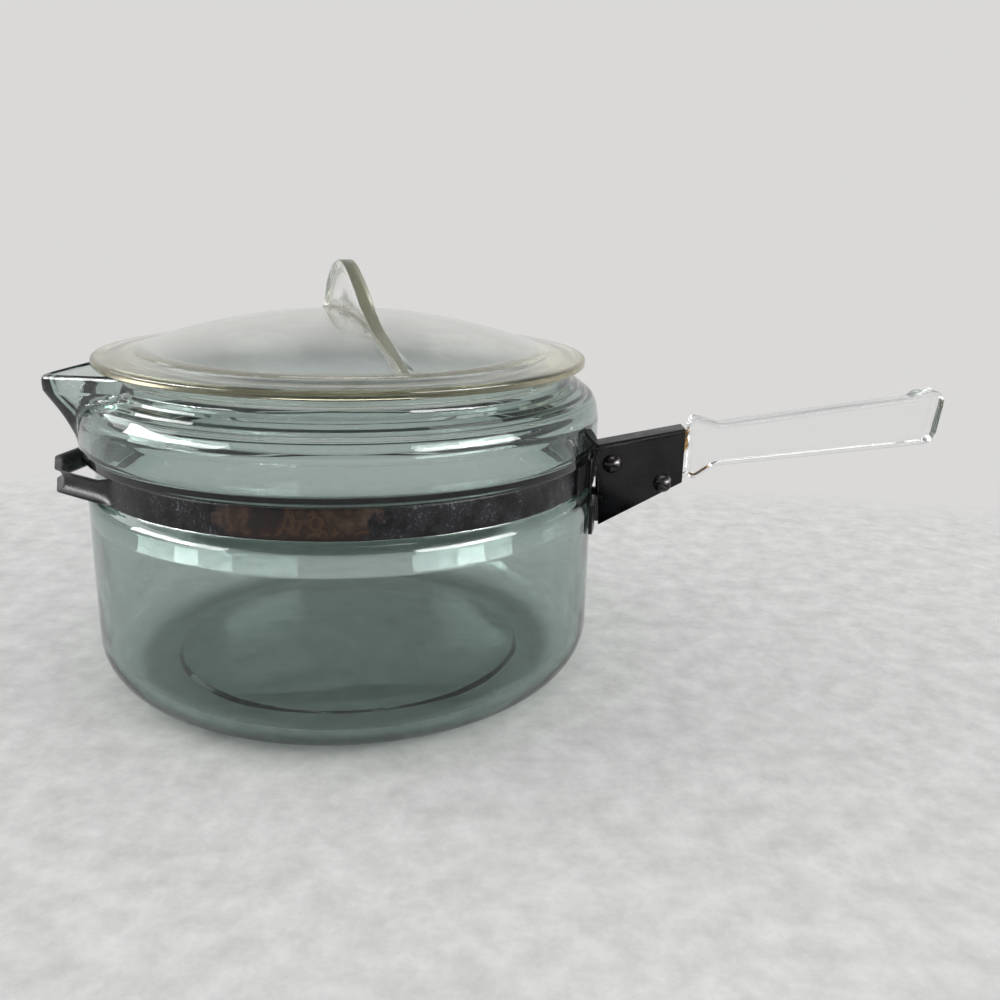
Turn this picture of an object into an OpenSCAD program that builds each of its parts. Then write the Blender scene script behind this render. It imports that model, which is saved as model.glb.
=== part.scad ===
// Glass saucepan with a pouring beak, a lift-off glass lid, and a flat glass handle held by a steel band.
// Millimetres, +Z up. The origin is on the pan's axis, on the surface that it stands on. The handle points
// to +X.

/* [Pan] */
// Outside radius of the lower wall
lower_r = 82.3; // [70:0.1:100]
// How far the upper wall stands out past the lower wall
upper_step = 1.1; // [0.4:0.1:2.5]
// How far the band's groove is cut in from the lower wall
groove_depth = 2.6; // [2.2:0.1:3]
// How far the neck is drawn in from the lower wall
neck_in = 8.3; // [7:0.1:10]
// Height of the pan's rim
pan_h = 103.4; // [98:0.1:125]
// Thickness of the glass wall
wall = 3.3; // [2.6:0.1:4]
// Thickness of the glass base
base_t = 4.5; // [3.5:0.1:6]
// Radius of the outside corner between wall and base
corner_r = 16; // [10:0.5:20]
// Radius of the shallow recess under the base
recess_r = 50; // [35:0.5:58]
// Depth of the recess under the base
recess_depth = 1.2; // [0.6:0.1:2]

/* [Beak] */
// Direction of the beak, measured from the handle
beak_az = 203; // [180:1:225]
// How far the beak's tip reaches past the upper wall
beak_reach = 8.6; // [6:0.1:12]
// How far the beak's tip lies under the rim
beak_drop = 2.9; // [2:0.1:4.5]
// Height of the beak, from the foot of its keel to the rim
beak_h = 23; // [18:0.5:25]
// Half of the angle between the beak's two sides
beak_half_angle = 46; // [40:0.5:49]

/* [Lid] */
// How far the lid's rim stands out past the neck
lid_overhang = 4.3; // [3.5:0.1:6]
// Thickness of the lid's rim
lid_rim_t = 2.6; // [2:0.1:4]
// How far the rim's edge hangs down outside the neck
lid_drop = 1; // [0.4:0.1:1.6]
// Thickness of the lid's dome
lid_t = 3.4; // [2.6:0.1:4]
// Height of the dome over its foot
dome_h = 11.3; // [8:0.1:20]
// Depth of the ring that keeps the lid centred in the neck
skirt_depth = 5.6; // [3:0.1:7]
// Room between that ring and the neck
skirt_room = 0.8; // [0.5:0.1:1.5]
// Height of the fin over the top of the dome
fin_h = 15.9; // [10:0.1:22]
// Thickness of the fin
fin_t = 4.6; // [4:0.1:7]
// Thickness of the fin at the end of its long tail
fin_tip_t = 1.2; // [0.6:0.1:3]
// Direction that the fin's long end points, measured from the handle
fin_az = -65; // [-180:1:180]

/* [Band] */
// Height of the band's middle
band_z = 70.1; // [64:0.1:74]
// Height of the band
band_h = 9; // [7:0.1:10]
// Thickness of the band's steel
band_t = 0.8; // [0.6:0.1:1]
// How far the folded nose reaches out past the band
nose_reach = 8; // [5:0.1:10]
// Half of the nose's width at its tip
nose_half_w = 8; // [5:0.1:10]
// How far the nose's edges flare out
nose_flare = 2.2; // [0.5:0.1:2.6]
// Thickness of the straps that the band's ends are fixed to
strap_t = 1.2; // [0.8:0.1:1.4]
// Length of each strap along the band
strap_len = 31; // [26:0.5:40]

/* [Bracket] */
// Outside width of the folded bracket
bracket_w = 12; // [11:0.1:15]
// Thickness of the bracket's steel
bracket_t = 1.2; // [0.8:0.1:1.5]
// Outside radius of the bracket's two bends
bend_r = 2; // [1.8:0.1:3]
// Length of the bracket
bracket_len = 28.4; // [26:0.1:40]
// Rise of the bracket's top edge along its length
bracket_rise = 6.1; // [3:0.1:9]
// Height of the bracket's pan end
bracket_pan_h = 27.2; // [24:0.1:32]
// Height of the bracket's outer end
bracket_end_h = 17.8; // [16:0.1:20]
// Thickness of the liner between the bracket and the glass
liner_t = 0.7; // [0.4:0.1:1]

/* [Handle] */
// Length of the glass handle past the bracket
grip_len = 85.4; // [60:0.1:130]
// Thickness of the handle
grip_t = 10; // [9:0.1:14]
// Height of the handle next to the bracket
grip_root_h = 14.2; // [12:0.1:18]
// Height of the handle at its end
grip_end_h = 16.6; // [14:0.1:22]
// Slope of the handle in degrees
grip_slope = 8.5; // [4:0.1:12]
// How far the lip at the handle's end stands up
grip_lip_up = 1.2; // [0.5:0.1:3]
// Width of the bevel round the handle's faces
grip_bevel = 1.8; // [1:0.1:2.5]

/* [Screws] */
// Diameter of the two screws
screw_d = 4; // [3:0.1:4.5]
// Diameter of the screws' round heads
screw_head_d = 6.4; // [5.6:0.1:7.5]
// Height of the screws' round heads
screw_head_h = 2.4; // [1.6:0.1:3]
// Width of the nuts across their flats
nut_w = 7; // [6.4:0.1:8]
// Thickness of the nuts
nut_t = 2.6; // [2:0.1:3.2]
// Thickness of the washers
washer_t = 0.8; // [0.5:0.1:1.2]

/* [Hidden] */

round_fn = 96;
small_fn = 32;
// Extra length that a cutting shape has past what it cuts
over = 1;

pan_glass = "#8fa39c";
lid_glass = "#d6d8cf";
handle_glass = "#e6e9e8";
black_paint = "#1b1c1d";
screw_steel = "#3a3638";
liner_paper = "#8a6a38";

// The pan's radii and heights
upper_r = lower_r + upper_step;
groove_r = lower_r - groove_depth;
neck_r = lower_r - neck_in;
rim_swell = 0.3;
rim_t = wall + rim_swell;
groove_room = 0.6;
groove_lo = band_z - band_h / 2 - groove_room;
groove_hi = band_z + band_h / 2 + groove_room;
shoulder_h = pan_h - groove_hi;
ledge_r = 1.2;
lower_lip_r = 4.5;
lower_lip_angle = acos((lower_lip_r - groove_depth) / lower_lip_r);

// Shares of the way in from the upper wall to the neck, and of the way up from the groove to the rim
outer_shoulder_shares = [[0, 0.24], [0.05, 0.455], [0.12, 0.575], [0.235, 0.64], [0.445, 0.685], [0.49, 0.71],
    [0.7, 0.75], [0.755, 0.777], [0.935, 0.81], [1, 0.85]];
inner_shoulder_shares = [[1, 0.845], [0.88, 0.76], [0.57, 0.667], [0.24, 0.567], [0.07, 0.44], [0, 0.24]];
middle_shoulder_shares = [[0, 0.24], [0.05, 0.45], [0.17, 0.57], [0.4, 0.655], [0.6, 0.72], [0.82, 0.78],
    [1, 0.845]];
inner_ledge_shares = [[0, 0.15], [0.22, 0.08], [0.7, 0.03], [1, -0.03]];
inner_lip_shares = [[1, 0.03], [0.86, -0.04], [0.2, -0.14], [0, -0.25]];

function arc(centre, r, from, to, steps) =
    [for (i = [0:steps]) let (a = from + (to - from) * i / steps) centre + r * [cos(a), sin(a)]];
function polar(r, az) = [r * cos(az), r * sin(az)];
function between(low, high, share) = low + (high - low) * share;

outer_shoulder = [for (s = outer_shoulder_shares)
    [between(upper_r, neck_r, s[0]), between(groove_hi, pan_h, s[1])]];
inner_shoulder = [for (s = inner_shoulder_shares)
    [between(upper_r - wall, neck_r - rim_t, s[0]), between(groove_hi, pan_h, s[1])]];
middle_shoulder = [for (s = middle_shoulder_shares)
    [between(upper_r - wall / 2, neck_r - rim_t / 2, s[0]), between(groove_hi, pan_h, s[1])]];
inner_ledge = [for (s = inner_ledge_shares)
    [between(upper_r - wall, groove_r - wall, s[0]), groove_hi + shoulder_h * s[1]]];
inner_lip = [for (s = inner_lip_shares)
    [between(lower_r - wall, groove_r - wall, s[0]), groove_lo + shoulder_h * s[1]]];

// The beak's heights and radii
beak_foot_z = pan_h - beak_h;
beak_tip_r = upper_r + beak_reach;
beak_steps = 16;
beak_levels = 10;
// How far the beak's top edge is under the rim where it leaves the neck, to clear the lid's edge
beak_lid_room = 0.3;
lid_seat_room = 0.2;
beak_rim_step = lid_drop - lid_seat_room + beak_lid_room;
beak_top_z = pan_h - beak_rim_step;
beak_slope = atan((beak_drop - beak_rim_step) / (beak_tip_r - neck_r));
// Height of the beak's blunt tip, and the rounding of its edge in plan
beak_lip_h = 1.9;
beak_point_r = 1.5;
// How far the keel's foot lies under the wall's surface
beak_sunk = 0.6;
// How far the beak's solid runs in past the neck, before it is cut back
beak_root_in = 12;
beak_root_x = neck_r - beak_root_in;

// The channel inside the beak
channel_depth = 13.4;
channel_wall = 3.8;
channel_foot_in = 4.4;
channel_slope_h = 10.6;
channel_foot_round = 4;
channel_foot_z = pan_h - channel_depth;
channel_tip_r = beak_tip_r - channel_wall;

// The lid's radii and heights
lid_z = pan_h + lid_seat_room;
lid_r = neck_r + lid_overhang;
dome_in = 8.4;
dome_r = neck_r - dome_in;
flange_fall = 0.9;
lid_step = 0.6;
lid_step_w = 1;
lid_edge_z = lid_z - lid_drop;
lid_edge_room = 1.2;
lid_edge_slope = 0.7;
skirt_r = neck_r - rim_t - skirt_room;
skirt_t = 3.4;
skirt_in_r = skirt_r - skirt_t;
skirt_edge = 1;
skirt_low_z = lid_z - skirt_depth;
lid_edge_share = 0.45;
lid_edge_r = lid_edge_share * lid_rim_t;
dome_foot_z = lid_edge_z + lid_rim_t + flange_fall + lid_step;
dome_top_z = dome_foot_z + dome_h;
dome_sphere_r = (dome_r * dome_r + dome_h * dome_h) / (2 * dome_h);
dome_half_angle = asin(dome_r / dome_sphere_r);
dome_inner_half_angle = asin(skirt_in_r / dome_sphere_r);
dome_steps = 16;
fin_dish = 0.9;
// Share of the dome's radius where the fin starts to taper
fin_taper_share = 0.4;
fin_edge = 3.2;
// Shares of the dome's radius along the fin, and of the fin's height over the dome's foot
fin_shares = [[-0.31, 0.23], [-0.31, 0.4], [-0.285, 0.55], [-0.235, 0.71], [-0.16, 0.86], [-0.075, 0.96],
    [0, 1], [0.06, 0.99], [0.14, 0.94], [0.235, 0.82], [0.345, 0.665], [0.435, 0.52], [0.57, 0.34],
    [0.7, 0.24], [0.82, 0.16], [0.915, 0.09], [0.98, 0.02], [0.98, -0.1], [-0.31, -0.1]];

// The band's path, with room for its facets over the groove's round floor
band_room = 0.05;
band_r = groove_r + band_room;
band_gap_angle = 9;
band_step_angle = 3;
nose_root_angle = 20;
nose_corner_steps = 4;
nose_corner_r = 3.5;
nose_tip_r = band_r + nose_reach;
// Share of the band's half height that its edges lose where they flare
flare_lean_share = 0.24;
flare_power = 2.2;
section_steps = 6;
nose_az = beak_az - 360;

// The bracket's outline
bracket_room = 0.4;
bracket_over_ledge = 0.9;
bracket_lean = 1.2;
bracket_x = upper_r + bracket_room;
bracket_top_z = groove_hi + bracket_over_ledge;
bracket_end_x = bracket_x + bracket_len;
bracket_end_z = bracket_top_z + bracket_rise;
bracket_low_x = bracket_x + bracket_lean;
bracket_low_z = bracket_top_z - bracket_pan_h;
bracket_end_low_z = bracket_end_z - bracket_end_h;
inside_half = bracket_w / 2 - bracket_t;
bracket_slope = atan(bracket_rise / bracket_len);
bracket_sheet = [[bracket_x, bracket_top_z], [bracket_end_x, bracket_end_z],
    [bracket_end_x, bracket_end_low_z], [bracket_low_x, bracket_low_z]];

// The bracket's wings, which lie on the straps, and its feet, which rest on the lower wall
wing_room = 0.1;
wing_r = band_r + band_t + strap_t + wing_room;
wing_angle = 15;
wing_low_z = band_z - band_h / 2;
wing_high_z = groove_hi - wing_room;
foot_r = lower_r + bracket_room;
foot_angle = 13;
foot_h = 9.5;
foot_up = 0.6;
foot_low_z = bracket_low_z + foot_up;
foot_high_z = foot_low_z + foot_h;
relief_w = 0.7;
joint_over = 1;

// The straps
strap_r = band_r + band_t;
strap_angle = strap_len / band_r * 180 / PI;
strap_bend_angle = asin((inside_half - strap_t / 2) / (strap_r + strap_t / 2));
strap_bite = 0.5;
ear_len = 13.4;
// How much the ears are cut back at either edge of the band, to clear the bracket's bends
ear_low = 1;

// The screws
screw_room = 0.4;
slot_w = 1;
slot_depth = 1.2;
front_screw_in = 4.8;
rear_screw_in = 6.4;
rear_screw_up = 0.4;
front_screw_at = [bracket_x + front_screw_in, band_z];
rear_screw_at = [bracket_end_x - rear_screw_in, bracket_end_low_z - rear_screw_up];
nut_y = bracket_w / 2 + washer_t + nut_t;
screw_over = 0.8;
screw_end_y = nut_y + screw_over;
head_sphere_r = (screw_head_d * screw_head_d / 4 + screw_head_h * screw_head_h) / (2 * screw_head_h);
head_half_angle = asin(min(1, screw_head_d / 2 / head_sphere_r));
front_slot_turn = -8;
rear_slot_turn = -42;
washer_over = 0.6;

// The liner and the glass handle
liner_room = 0.05;
liner_over = 1.6;
liner_up = 1;
handle_room = 4.4;
root_t = 2 * (inside_half - liner_t - liner_room);
root_x = front_screw_at[0] + screw_d / 2 + handle_room;
root_up = 0.6;
root_under = (bracket_t + liner_t + liner_room) / cos(bracket_slope);
liner_x = root_x + bracket_room;
collar_gap = 0.3;
collar_x = bracket_end_x + liner_over + collar_gap;
collar_len = 9.6;
collar_t_share = 0.92;
collar_t = collar_t_share * grip_t;
collar_bevel = grip_bevel / 2;
collar_low = 1.5;
collar_top = 4.4;
// Shares of the collar's length, and of its top's height over the handle's root
collar_top_shares = [[1, 0], [0.72, 0.33], [0.35, 0.8], [0, 1]];
grip_x = collar_x + collar_len;
grip_end_x = bracket_end_x + grip_len;
grip_mid_down = 5.35;
grip_mid_z = bracket_end_z - grip_mid_down;
grip_top_r = 4;
grip_low_r = 5;
grip_end_lean = 2.6;
grip_end_angle = -8;
grip_lip_len = 11;
grip_lip_ramp = 1.6;

// Height of the bracket's top edge at x
function bracket_top(x) = bracket_top_z + (x - bracket_x) * bracket_rise / bracket_len;
// Height of the bracket's slanted lower edge at x
function bracket_low(x) =
    between(bracket_low_z, bracket_end_low_z, (x - bracket_low_x) / (bracket_end_x - bracket_low_x));

// Outside radius of the pan's glass at height z, above the groove
function pan_r(z) = z <= outer_shoulder[0][1] ? upper_r : lookup(z, [for (p = outer_shoulder) [p[1], p[0]]]);

// Distance of the beak's keel from the axis at height z, and of the channel's floor
function keel_r(z) =
    min(beak_tip_r,
        between(upper_r - beak_sunk, beak_tip_r, (z - beak_foot_z) / (beak_h - beak_drop - beak_lip_h)));
function channel_r(z) =
    min(channel_tip_r,
        between(upper_r - channel_foot_in, channel_tip_r, (z - channel_foot_z) / channel_slope_h));
function channel_round(z) =
    max(beak_point_r, between(channel_foot_round, beak_point_r, (z - channel_foot_z) / channel_slope_h));
// A point of a level plan shaped as a V with a rounded point at x = tip. Side runs from -1 to 1 along it.
function v_point(tip, round_r, side, z) =
    let (run = side * (tip - beak_root_x))
    [tip + round_r - norm([run, round_r]), run * tan(beak_half_angle), z];
function v_back(tip, side, z) =
    [beak_root_x - beak_root_in, side * (tip - beak_root_x) * tan(beak_half_angle), z];

// A closed solid between two grids of points with the same number of rows and columns
module grid_solid(front, back) {
    rows = len(front);
    columns = len(front[0]);
    points = concat([for (row = front) for (p = row) p], [for (row = back) for (p = row) p]);
    function at(i, j, side) = side * rows * columns + i * columns + j;
    function quad(a, b, c, d) = [[a, b, c], [a, c, d]];
    faces = concat(
        [for (i = [0:rows - 2]) for (j = [0:columns - 2])
            each quad(at(i, j, 0), at(i + 1, j, 0), at(i + 1, j + 1, 0), at(i, j + 1, 0))],
        [for (i = [0:rows - 2]) for (j = [0:columns - 2])
            each quad(at(i, j, 1), at(i, j + 1, 1), at(i + 1, j + 1, 1), at(i + 1, j, 1))],
        [for (i = [0:rows - 2]) each quad(at(i, 0, 0), at(i, 0, 1), at(i + 1, 0, 1), at(i + 1, 0, 0))],
        [for (i = [0:rows - 2], j = columns - 1)
            each quad(at(i, j, 0), at(i + 1, j, 0), at(i + 1, j, 1), at(i, j, 1))],
        [for (j = [0:columns - 2]) each quad(at(0, j, 0), at(0, j + 1, 0), at(0, j + 1, 1), at(0, j, 1))],
        [for (j = [0:columns - 2], i = rows - 1)
            each quad(at(i, j, 0), at(i, j, 1), at(i, j + 1, 1), at(i, j + 1, 0))]);
    polyhedron(points = points, faces = faces, convexity = 6);
}

module pan_wall() {
    rotate_extrude($fn = round_fn) polygon(concat(
        [[0, recess_depth], [recess_r - recess_depth, recess_depth], [recess_r, 0]],
        arc([lower_r - corner_r, corner_r], corner_r, -90, 0, 12),
        arc([lower_r - lower_lip_r, groove_lo - lower_lip_r * sin(lower_lip_angle)], lower_lip_r,
            0, lower_lip_angle, 6),
        [[groove_r, groove_hi]],
        arc([upper_r - ledge_r, groove_hi + ledge_r], ledge_r, -90, 0, 4),
        outer_shoulder,
        arc([neck_r - rim_t / 2, pan_h - rim_t / 2], rim_t / 2, 0, 180, 8),
        inner_shoulder,
        inner_ledge,
        inner_lip,
        arc([lower_r - corner_r, base_t + corner_r - wall], corner_r - wall, 0, -90, 10),
        [[0, base_t]]));
}

// What the beak's solid is cut back to, half way through the wall
module wall_middle() {
    rotate_extrude($fn = round_fn) polygon(concat(
        [[0, beak_foot_z - over], [upper_r - wall / 2, beak_foot_z - over]],
        middle_shoulder,
        [[neck_r - rim_t / 2, pan_h + over], [0, pan_h + over]]));
}

// The solid between two heights whose level plans are the V of v_point, drawn with x along the beak
module v_solid(low, high, tips, rounds) {
    function level(j) = between(low, high, j / beak_levels);
    sides = [for (i = [0:beak_steps]) 2 * i / beak_steps - 1];
    grid_solid(
        [for (j = [0:beak_levels]) [for (side = sides) v_point(tips[j], rounds[j], side, level(j))]],
        [for (j = [0:beak_levels]) [for (side = sides) v_back(tips[j], side, level(j))]]);
}

module beak_outside() {
    levels = [for (j = [0:beak_levels]) between(beak_foot_z, beak_top_z, j / beak_levels)];
    difference() {
        v_solid(beak_foot_z, beak_top_z, [for (z = levels) keel_r(z)], [for (z = levels) beak_point_r]);
        translate([neck_r, 0, beak_top_z]) rotate([0, beak_slope, 0])
            translate([0, -pan_h, 0]) cube(2 * pan_h);
    }
}

module beak_channel() {
    levels = [for (j = [0:beak_levels]) between(channel_foot_z, pan_h + over, j / beak_levels)];
    v_solid(channel_foot_z, pan_h + over,
        [for (z = levels) channel_r(z)], [for (z = levels) channel_round(z)]);
}

module pan_body() {
    color(pan_glass, 0.6)
    difference() {
        union() {
            pan_wall();
            difference() {
                rotate([0, 0, beak_az]) beak_outside();
                wall_middle();
            }
        }
        rotate([0, 0, beak_az]) beak_channel();
    }
}

module lid_profile() {
    polygon(concat(
        arc([0, dome_top_z - dome_sphere_r - lid_t], dome_sphere_r,
            90, 90 - dome_inner_half_angle, dome_steps),
        [[skirt_in_r, skirt_low_z + skirt_edge], [skirt_in_r + skirt_edge, skirt_low_z],
            [skirt_r - skirt_edge, skirt_low_z], [skirt_r, skirt_low_z + skirt_edge], [skirt_r, lid_z],
            [neck_r + lid_edge_room, lid_z], [neck_r + lid_edge_room + lid_edge_slope, lid_edge_z]],
        arc([lid_r - lid_edge_r, lid_edge_z + lid_edge_r], lid_edge_r, -90, 0, 4),
        arc([lid_r - lid_edge_r, lid_edge_z + lid_rim_t - lid_edge_r], lid_edge_r, 0, 90, 4),
        [[dome_r + lid_step_w, dome_foot_z - lid_step]],
        arc([0, dome_top_z - dome_sphere_r], dome_sphere_r, 90 - dome_half_angle, 90, dome_steps)));
}

// The fin's outline, set back by a margin along and across
module fin_outline(margin) {
    polygon([for (s = fin_shares) [s[0] * (dome_r - 2 * margin) - margin / 2,
        between(dome_foot_z, dome_top_z + fin_h - margin, s[1])]]);
}

// The fin's plan, which tapers towards its long end
module fin_plan() {
    polygon([[-dome_r, -fin_t / 2], [fin_taper_share * dome_r, -fin_t / 2], [dome_r, -fin_tip_t / 2],
        [dome_r, fin_tip_t / 2], [fin_taper_share * dome_r, fin_t / 2], [-dome_r, fin_t / 2]]);
}

module fin() {
    difference() {
        intersection() {
            slab(fin_t + over) fin_outline(0);
            linear_extrude(dome_top_z + fin_h + over) fin_plan();
        }
        for (side = [-1, 1])
            translate([0, side * fin_t / 2, 0]) slab(2 * fin_dish) fin_outline(fin_edge);
    }
}

// The solid inside the dome's glass, which keeps the fin's foot from coming out below
module dome_inside() {
    rotate_extrude($fn = round_fn) polygon(concat([[0, 0], [dome_r, 0]],
        arc([0, dome_top_z - dome_sphere_r - lid_t / 2], dome_sphere_r,
            90 - dome_half_angle, 90, dome_steps)));
}

module lid() {
    color(lid_glass, 0.5) {
        rotate_extrude($fn = round_fn) lid_profile();
        difference() {
            rotate([0, 0, fin_az]) fin();
            dome_inside();
        }
    }
}

module slab(t) { rotate([90, 0, 0]) linear_extrude(t, center = true) children(); }

// The nose's plan, in its own frame with x along its direction: points and how much each flares
nose_corner_angle = atan2(nose_tip_r - band_r * cos(nose_root_angle),
    band_r * sin(nose_root_angle) - nose_half_w);
nose_flank_share = 0.14;
// Shares of the nose's flare along its flank
nose_flare_shares = [0.15, 0.8, 1];
function mirror_back(points) = [for (i = [len(points) - 1:-1:0]) [points[i][0], -points[i][1], points[i][2]]];
nose_corner_back = nose_corner_r * tan(nose_corner_angle / 2);
nose_side = concat(
    [[band_r * cos(nose_root_angle), band_r * sin(nose_root_angle), nose_flare_shares[0]]],
    [[between(band_r * cos(nose_root_angle), nose_tip_r, nose_flank_share),
        between(band_r * sin(nose_root_angle), nose_half_w, nose_flank_share), nose_flare_shares[1]]],
    [[between(band_r * cos(nose_root_angle), nose_tip_r, 2 * nose_flank_share),
        between(band_r * sin(nose_root_angle), nose_half_w, 2 * nose_flank_share),
        nose_flare_shares[2]]],
    [for (p = arc([nose_tip_r - nose_corner_r, nose_half_w - nose_corner_back], nose_corner_r,
        nose_corner_angle, 0, nose_corner_steps)) [p[0], p[1], 1]]);
nose_plan = concat(nose_side, mirror_back(nose_side));

function ring_points(from, to) =
    let (steps = ceil(abs(to - from) / band_step_angle))
    [for (i = [0:steps]) let (p = polar(band_r, between(from, to, i / steps))) [p[0], p[1], 0]];
band_path = concat(
    ring_points(-band_gap_angle, nose_az + nose_root_angle + band_step_angle),
    [for (p = nose_plan) let (q = polar(norm([p[0], p[1]]), nose_az + atan2(p[1], p[0]))) [q[0], q[1], p[2]]],
    ring_points(nose_az - nose_root_angle - band_step_angle, -360 + band_gap_angle));

// The outward direction of the band's path at point i
function path_side(i) =
    let (a = band_path[max(0, i - 1)], b = band_path[min(len(band_path) - 1, i + 1)],
         d = [b[0] - a[0], b[1] - a[1]])
    [-d[1], d[0]] / norm(d);
// A point of the band's section: t runs from -1 at its lower edge to 1 at its upper edge
function band_point(i, t, out) =
    let (p = band_path[i], side = path_side(i), flare = p[2] * pow(abs(t), flare_power),
         off = out + nose_flare * flare)
    [p[0] + side[0] * off, p[1] + side[1] * off,
        band_z + band_h / 2 * t * (1 - flare_lean_share * flare)];

module band() {
    color(black_paint)
    grid_solid(
        [for (i = [0:len(band_path) - 1]) [for (k = [0:section_steps])
            band_point(i, 2 * k / section_steps - 1, band_t)]],
        [for (i = [0:len(band_path) - 1]) [for (k = [0:section_steps])
            band_point(i, 2 * k / section_steps - 1, 0)]]);
}

// A piece of upright sheet that follows a cylinder, between two directions
module curved_sheet(r, t, from, to, low, high) {
    rotate([0, 0, from]) rotate_extrude(angle = to - from, $fn = round_fn)
    translate([r, low]) square([t, high - low]);
}

module cross_bore(at, d) {
    translate([at[0], 0, at[1]]) rotate([90, 0, 0])
        cylinder(h = 2 * bracket_w, d = d, center = true, $fn = small_fn);
}

module near_strap() {
    low = band_z - band_h / 2;
    color(black_paint)
    difference() {
        union() {
            curved_sheet(strap_r, strap_t, -strap_angle, -strap_bend_angle, low, low + band_h);
            translate([strap_r - strap_bite, -inside_half, low + ear_low])
                cube([ear_len, strap_t, band_h - 2 * ear_low]);
        }
        cross_bore(front_screw_at, screw_d + screw_room);
    }
}

module far_strap() {
    mirror([0, 1, 0]) near_strap();
}

// A sheet bent out from one side plate to lie round the pan, with the part that joins it to the plate
module flange(side, r, angle, low, high, relief) {
    outer = bracket_w / 2;
    root_angle = asin((outer - bracket_t) / (r + bracket_t));
    curved_sheet(r, bracket_t, side > 0 ? root_angle : -angle, side > 0 ? angle : -root_angle, low, high);
    translate([r, side > 0 ? outer - bracket_t : -outer, low + relief])
        cube([bracket_low_x - r + joint_over, bracket_t, high - low - relief]);
}

// A sheet folded over a bar that runs up the bracket's slope. Half is half of its outside width, and down is
// how far its top lies under the bracket's.
module folded(half, t, r, down) {
    drop = 2 * bracket_pan_h;
    translate([bracket_x, 0, bracket_top_z]) rotate([0, -bracket_slope, 0])
    translate([-bracket_len, 0, -down]) rotate([90, 0, 90])
    linear_extrude(4 * bracket_len)
        polygon(concat(
            [[half, -drop]],
            arc([half - r, -r], r, 0, 90, 4),
            arc([r - half, -r], r, 90, 180, 4),
            [[-half, -drop], [t - half, -drop]],
            arc([r - half, -r], r - t, 180, 90, 4),
            arc([half - r, -r], r - t, 90, 0, 4),
            [[half - t, -drop]]));
}

module handle_bracket() {
    color(black_paint)
    difference() {
        union() {
            intersection() {
                slab(bracket_w + 2 * over) polygon(bracket_sheet);
                folded(bracket_w / 2, bracket_t, bend_r, 0);
            }
            for (side = [-1, 1]) {
                flange(side, wing_r, wing_angle, wing_low_z, wing_high_z, 0);
                flange(side, foot_r, foot_angle, foot_low_z, foot_high_z, relief_w);
            }
        }
        cross_bore(front_screw_at, screw_d + screw_room);
        cross_bore(rear_screw_at, screw_d + screw_room);
    }
}

// The side outline of what fills the bracket, from x0 to x1, set in under the web and over the lower edge
module inside_outline(x0, x1, under, up) {
    polygon([[x0, bracket_top(x0) - under], [x1, bracket_top(x1) - under],
        [x1, bracket_low(x1) + up], [x0, bracket_low(x0) + up]]);
}

module handle_liner() {
    color(liner_paper)
    difference() {
        intersection() {
            slab(bracket_w) inside_outline(liner_x, bracket_end_x + liner_over, 0, liner_up);
            folded(inside_half, liner_t, max(liner_t, bend_r - bracket_t), bracket_t);
        }
        cross_bore(rear_screw_at, screw_d + screw_room);
    }
}

// Height of the handle's lower edge (side = -1) or upper edge (side = 1) at x
function grip_edge(x, side) =
    let (share = (x - grip_x) / (grip_end_x - grip_x), h = between(grip_root_h, grip_end_h, share))
    grip_mid_z + (x - grip_x) * tan(grip_slope) + side * h / 2;

module grip_outline(inset) {
    x0 = grip_x - joint_over;
    x1 = grip_end_x - grip_lip_len + grip_lip_ramp;
    polygon([[x0, grip_edge(x0, -1) + inset], [x1, grip_edge(x1, -1) + inset],
        [x1, grip_edge(x1, 1) - inset], [x0, grip_edge(x0, 1) - inset]]);
}

// The handle's end, with its raised lip
module grip_end_outline(inset) {
    x0 = grip_end_x - grip_lip_len;
    x1 = x0 + grip_lip_ramp;
    low_x = grip_end_x - grip_end_lean - grip_low_r;
    top_x = grip_end_x - grip_top_r;
    polygon(concat(
        [[x0, grip_edge(x0, -1) + inset]],
        arc([low_x, grip_edge(low_x, -1) + grip_low_r], grip_low_r - inset,
            -90 + grip_slope, grip_end_angle, 5),
        arc([top_x, grip_edge(top_x, 1) + grip_lip_up - grip_top_r], grip_top_r - inset,
            grip_end_angle, 90 + grip_slope, 6),
        [[x1, grip_edge(x1, 1) + grip_lip_up - inset], [x0, grip_edge(x0, 1) - inset]]));
}

// The flared root of the handle, outside the bracket
module collar_outline(inset) {
    low = bracket_end_low_z - collar_low;
    top = grip_edge(grip_x, 1);
    polygon(concat(
        [[collar_x, low + inset], [grip_x, grip_edge(grip_x, -1) + inset]],
        [for (s = collar_top_shares)
            [between(collar_x, grip_x, s[0]), between(top, bracket_end_z + collar_top, s[1]) - inset]]));
}

// A bar that is bevelled round its two faces, from its full outline and its inset one
module bevelled(t, bevel) {
    hull() {
        slab(t - 2 * bevel) children(0);
        slab(t) children(1);
    }
}

module glass_handle() {
    notch_d = screw_d + 2 * screw_room;
    color(handle_glass, 0.4)
    difference() {
        union() {
            bevelled(grip_t, grip_bevel) {
                grip_outline(0);
                grip_outline(grip_bevel);
            }
            bevelled(grip_t, grip_bevel) {
                grip_end_outline(0);
                grip_end_outline(grip_bevel);
            }
            bevelled(collar_t, collar_bevel) {
                collar_outline(0);
                collar_outline(collar_bevel);
            }
            slab(root_t) inside_outline(root_x, collar_x + joint_over, root_under, root_up);
        }
        cross_bore(rear_screw_at, notch_d);
        translate([rear_screw_at[0] - notch_d / 2, -bracket_w, bracket_low_z])
            cube([notch_d, 2 * bracket_w, rear_screw_at[1] - bracket_low_z]);
    }
}

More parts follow.
